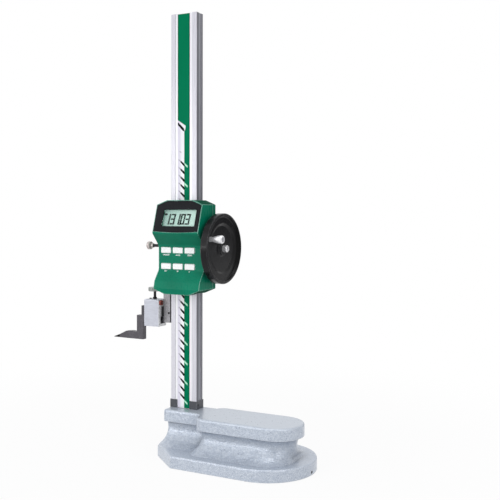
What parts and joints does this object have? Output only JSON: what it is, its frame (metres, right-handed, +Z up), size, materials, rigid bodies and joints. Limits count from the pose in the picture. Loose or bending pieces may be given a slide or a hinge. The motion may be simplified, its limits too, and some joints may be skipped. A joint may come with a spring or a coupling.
{
  "type": "digital height gauge",
  "caption": "Digital height gauge with a graduated column on a waisted cast base, a sliding display head driven by a crank wheel, and a clamped carbide scriber.",
  "frame": {"origin": "on the lapped underside of the base, directly under the axis of the column", "axes": "+X to the right along the base, away from the scriber; +Y to the back; +Z up the column; the display faces -Y"},
  "size_m": [0.2936, 0.1307, 0.5635],
  "materials": {
    "black_gloss": "gloss black panel",
    "black_plastic": "moulded, satin",
    "black_steel": "black oxide",
    "black_wheel": "black enamel, semi-gloss",
    "brass": "machined",
    "bright_steel": "bright zinc",
    "bronze": "turned bronze",
    "carbide": "ground tungsten carbide",
    "circuit_green": "solder-masked glass laminate",
    "clear_window": "clear acrylic",
    "dark_green_plastic": "moulded, semi-gloss green",
    "dark_steel": "satin, machined",
    "green_plastic": "moulded, semi-gloss green",
    "ground_steel": "ground and fine-brushed",
    "hammertone_iron": "light blue-grey hammertone enamel over cast iron",
    "jaw_steel": "dark satin, fine-grained",
    "lcd_glass": "pale green liquid crystal panel",
    "polished_steel": "polished",
    "printed_film": "white film printed with a green band and graduations",
    "satin_chrome": "satin chrome",
    "scriber_steel": "ground, darkened",
    "white_key": "moulded white"
  },
  "bodies": {
    "base": {"base_casting": "hammertone_iron", "column": "ground_steel", "column_rack": "dark_steel", "rack_screws": "black_steel", "travel_stop_screw": "black_steel", "scale_board": "circuit_green", "scale_film": "printed_film", "foot_collar": "black_plastic", "collar_screws": "black_steel", "column_bolts": "black_steel", "column_bolt_washers": "bright_steel", "flange_plug": "black_plastic"},
    "carriage": {"slider_frame": "dark_steel", "gib_strip": "brass", "gib_screws": "black_steel", "shaft_bushes": "bronze", "front_housing": "green_plastic", "rear_cover": "dark_green_plastic", "rear_cover_screws": "black_steel", "carriage_screws": "black_steel", "display_bezel": "black_gloss", "display_window": "clear_window", "lcd_panel": "lcd_glass", "main_board": "circuit_green", "scale_read_head": "circuit_green", "main_board_screws": "bright_steel", "key_domes": "bright_steel", "coin_cell": "bright_steel", "cell_holder": "black_plastic", "jaw": "jaw_steel", "jaw_screws": "black_steel", "jaw_pin": "black_steel", "clamp_box": "satin_chrome", "clamp_set_screw": "black_steel", "clamp_side_screw": "bronze"},
    "drive": {"pinion_shaft": "bright_steel", "shaft_clip": "black_steel", "hand_wheel": "black_wheel", "hub_screw": "bright_steel", "handle_stud": "bright_steel"},
    "handle": {"crank_handle": "polished_steel"},
    "lock": {"lock_screw": "polished_steel"},
    "clamp_thumb_screw": {"clamp_screw": "polished_steel"},
    "scriber": {"scriber": "scriber_steel", "carbide_tip": "carbide"},
    "button_top_left": {"button_top_left": "white_key"},
    "button_top_middle": {"button_top_middle": "white_key"},
    "button_top_right": {"button_top_right": "white_key"},
    "button_bottom_left": {"button_bottom_left": "white_key"},
    "button_bottom_middle": {"button_bottom_middle": "white_key"},
    "button_bottom_right": {"button_bottom_right": "white_key"}
  },
  "joints": [
    {"name": "carriage_slide", "type": "slide", "parent": "base", "child": "carriage", "axis": [0, 0, 1], "range_m": [-0.141, 0.159]},
    {"name": "wheel_turn", "type": "hinge", "parent": "carriage", "child": "drive", "pos_m": [0.044, 0.0129, 0.2625], "axis": [1, 0, 0], "continuous": true},
    {"name": "handle_spin", "type": "hinge", "parent": "drive", "child": "handle", "pos_m": [0.056, -0.0204, 0.2754], "axis": [1, 0, 0], "continuous": true},
    {"name": "lock_turn", "type": "hinge", "parent": "carriage", "child": "lock", "pos_m": [-0.0575, 0, 0.2651], "axis": [1, 0, 0], "range_deg": [-180, 45]},
    {"name": "clamp_turn", "type": "hinge", "parent": "carriage", "child": "clamp_thumb_screw", "pos_m": [-0.0455, -0.006, 0.2], "axis": [0, 0, 1], "range_deg": [0, 360]},
    {"name": "scriber_slide", "type": "slide", "parent": "carriage", "child": "scriber", "axis": [1, 0, 0], "range_m": [-0.01, 0.0025]},
    {"name": "button_top_left_press", "type": "slide", "parent": "carriage", "child": "button_top_left", "axis": [0, 1, 0], "range_m": [0, 0.0005], "stiffness_N_per_m": 1500, "springref_m": -0.0004},
    {"name": "button_top_middle_press", "type": "slide", "parent": "carriage", "child": "button_top_middle", "axis": [0, 1, 0], "range_m": [0, 0.0005], "stiffness_N_per_m": 1500, "springref_m": -0.0004},
    {"name": "button_top_right_press", "type": "slide", "parent": "carriage", "child": "button_top_right", "axis": [0, 1, 0], "range_m": [0, 0.0005], "stiffness_N_per_m": 1500, "springref_m": -0.0004},
    {"name": "button_bottom_left_press", "type": "slide", "parent": "carriage", "child": "button_bottom_left", "axis": [0, 1, 0], "range_m": [0, 0.0005], "stiffness_N_per_m": 1500, "springref_m": -0.0004},
    {"name": "button_bottom_middle_press", "type": "slide", "parent": "carriage", "child": "button_bottom_middle", "axis": [0, 1, 0], "range_m": [0, 0.0005], "stiffness_N_per_m": 1500, "springref_m": -0.0004},
    {"name": "button_bottom_right_press", "type": "slide", "parent": "carriage", "child": "button_bottom_right", "axis": [0, 1, 0], "range_m": [0, 0.0005], "stiffness_N_per_m": 1500, "springref_m": -0.0004}
  ],
  "couplings": [
    {"joint": "wheel_turn", "follows": "carriage_slide", "rad_per_m": 166.67}
  ]
}
